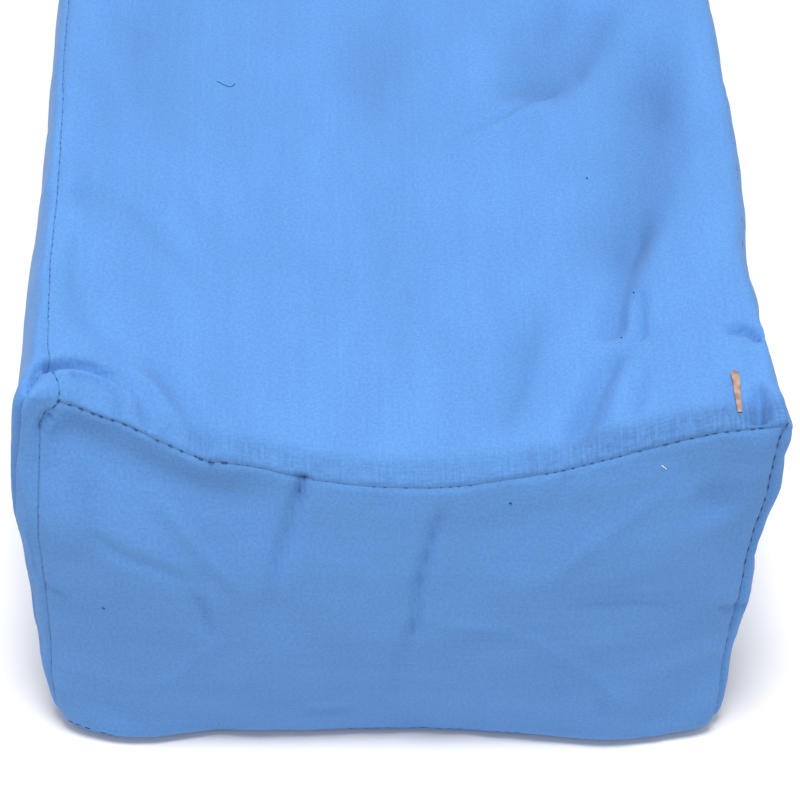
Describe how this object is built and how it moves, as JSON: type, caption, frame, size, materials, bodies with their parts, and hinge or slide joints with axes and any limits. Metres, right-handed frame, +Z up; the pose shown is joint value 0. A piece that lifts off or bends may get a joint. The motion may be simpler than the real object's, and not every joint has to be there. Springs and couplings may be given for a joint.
{
  "type": "leg elevation pillow",
  "caption": "Long foam leg rest with a shallow trough along its top, in a loose blue sewn cotton cover with gathered corners and soft creases.",
  "frame": {"origin": "middle of the footprint, on the surface that the pillow lies on", "axes": "+Z up, +Y along the pillow and the trough away from the end that the picture shows, +X to the right when looking along +Y"},
  "size_m": [0.2624, 0.6376, 0.1654],
  "materials": {
    "blue_cotton": "matt sky blue plain-weave cotton, slightly crumpled",
    "tan_tape": "narrow tan tape with a faint sheen"
  },
  "bodies": {
    "root": {"pillow": "blue_cotton", "tan_tape": "tan_tape"}
  },
  "joints": []
}
